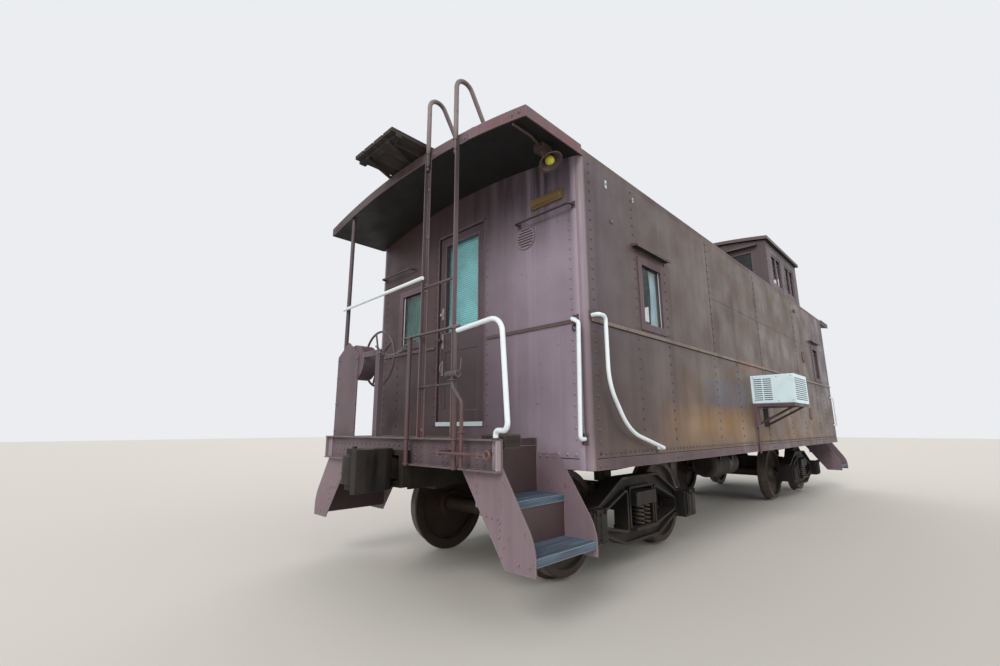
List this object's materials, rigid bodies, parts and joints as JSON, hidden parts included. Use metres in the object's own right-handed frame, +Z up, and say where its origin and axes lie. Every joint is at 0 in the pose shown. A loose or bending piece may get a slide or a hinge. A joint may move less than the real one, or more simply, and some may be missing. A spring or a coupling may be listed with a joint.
{
  "type": "caboose",
  "caption": "Steel cupola caboose with a platform, steps, ladder and hand brake at each end, swivelling two-axle trucks, swinging couplers and hinged end doors.",
  "frame": {"origin": "the track's centre line, midway between the two trucks, at the level of the flanges' lowest points, 28 mm below the rail heads", "axes": "+X along the car towards the end with the cupola, +Y to the left of that, +Z up; the air conditioner stands out of the -Y side"},
  "size_m": [10.688, 3.384, 4.2937],
  "materials": {
    "body_paint": "matte, faded",
    "trim_paint": "matte, faded",
    "roof_paint": "matte, weathered",
    "frame_paint": "matte, rusty",
    "white_paint": "satin",
    "old_wood": "weathered",
    "glass": "clear",
    "cloth": "matte",
    "lamp_metal": "matte",
    "cast_black": "matte, dirty",
    "wheel_steel": "dirty, rim worn"
  },
  "bodies": {
    "carbody": {"air_brake_gear": "cast_black", "air_conditioner": "white_paint", "air_conditioner_shelf": "frame_paint", "belt_rails": "body_paint", "brake_wheels": "frame_paint", "cupola_end_walls": "body_paint", "cupola_roof": "roof_paint", "cupola_side_walls": "body_paint", "drip_caps": "trim_paint", "end_ladders": "frame_paint", "end_railings": "frame_paint", "end_sills": "frame_paint", "end_wall_far": "body_paint", "end_wall_near": "body_paint", "floor": "old_wood", "hand_brakes": "frame_paint", "platform_decks": "old_wood", "porch_lamp": "lamp_metal", "roof": "roof_paint", "roof_fascia": "trim_paint", "roof_walk": "old_wood", "side_wall_left": "body_paint", "side_wall_right": "body_paint", "sign_board": "old_wood", "smokejack": "cast_black", "step_treads": "old_wood", "step_wells": "frame_paint", "strikers": "frame_paint", "underframe": "frame_paint", "walk_saddles": "frame_paint", "wall_grabs": "frame_paint", "wall_vents": "body_paint", "white_grabs": "white_paint", "window_blinds": "cloth", "window_panes": "glass", "window_sashes": "trim_paint"},
    "truck_near": {"truck_near_side_frames": "cast_black", "truck_near_bolster": "cast_black", "truck_near_springs": "cast_black", "truck_near_brake_beams": "cast_black"},
    "wheelset_near_outer": {"wheels_near_outer": "wheel_steel", "axle_near_outer": "wheel_steel"},
    "wheelset_near_inner": {"wheels_near_inner": "wheel_steel", "axle_near_inner": "wheel_steel"},
    "coupler_near": {"coupler_near": "cast_black"},
    "knuckle_near": {"knuckle_near": "cast_black"},
    "door_near": {"door_near": "trim_paint", "door_pane_near": "glass"},
    "truck_far": {"truck_far_side_frames": "cast_black", "truck_far_bolster": "cast_black", "truck_far_springs": "cast_black", "truck_far_brake_beams": "cast_black"},
    "wheelset_far_outer": {"wheels_far_outer": "wheel_steel", "axle_far_outer": "wheel_steel"},
    "wheelset_far_inner": {"wheels_far_inner": "wheel_steel", "axle_far_inner": "wheel_steel"},
    "coupler_far": {"coupler_far": "cast_black"},
    "knuckle_far": {"knuckle_far": "cast_black"},
    "door_far": {"door_far": "trim_paint", "door_pane_far": "glass"}
  },
  "joints": [
    {"name": "truck_near_swivel", "type": "hinge", "parent": "carbody", "child": "truck_near", "pos_m": [-2.925, 0, 0.69], "axis": [0, 0, 1], "range_deg": [-6, 6]},
    {"name": "wheelset_near_outer_spin", "type": "hinge", "parent": "truck_near", "child": "wheelset_near_outer", "pos_m": [-3.763, 0, 0.447], "axis": [0, 1, 0], "continuous": true},
    {"name": "wheelset_near_inner_spin", "type": "hinge", "parent": "truck_near", "child": "wheelset_near_inner", "pos_m": [-2.087, 0, 0.447], "axis": [0, 1, 0], "continuous": true},
    {"name": "coupler_near_swing", "type": "hinge", "parent": "carbody", "child": "coupler_near", "pos_m": [-4.565, 0, 0.904], "axis": [0, 0, 1], "range_deg": [-6, 6]},
    {"name": "knuckle_near_open", "type": "hinge", "parent": "coupler_near", "child": "knuckle_near", "pos_m": [-5.2, 0.1, 0.904], "axis": [0, 0, 1], "range_deg": [-45, 0]},
    {"name": "door_near_hinge", "type": "hinge", "parent": "carbody", "child": "door_near", "pos_m": [-4.183, -0.33, 2.1], "axis": [0, 0, 1], "range_deg": [-90, 0]},
    {"name": "truck_far_swivel", "type": "hinge", "parent": "carbody", "child": "truck_far", "pos_m": [2.925, 0, 0.69], "axis": [0, 0, 1], "range_deg": [-6, 6]},
    {"name": "wheelset_far_outer_spin", "type": "hinge", "parent": "truck_far", "child": "wheelset_far_outer", "pos_m": [3.763, 0, 0.447], "axis": [0, 1, 0], "continuous": true},
    {"name": "wheelset_far_inner_spin", "type": "hinge", "parent": "truck_far", "child": "wheelset_far_inner", "pos_m": [2.087, 0, 0.447], "axis": [0, 1, 0], "continuous": true},
    {"name": "coupler_far_swing", "type": "hinge", "parent": "carbody", "child": "coupler_far", "pos_m": [4.565, 0, 0.904], "axis": [0, 0, 1], "range_deg": [-6, 6]},
    {"name": "knuckle_far_open", "type": "hinge", "parent": "coupler_far", "child": "knuckle_far", "pos_m": [5.2, -0.1, 0.904], "axis": [0, 0, 1], "range_deg": [-45, 0]},
    {"name": "door_far_hinge", "type": "hinge", "parent": "carbody", "child": "door_far", "pos_m": [4.183, 0.33, 2.1], "axis": [0, 0, 1], "range_deg": [-90, 0]}
  ]
}
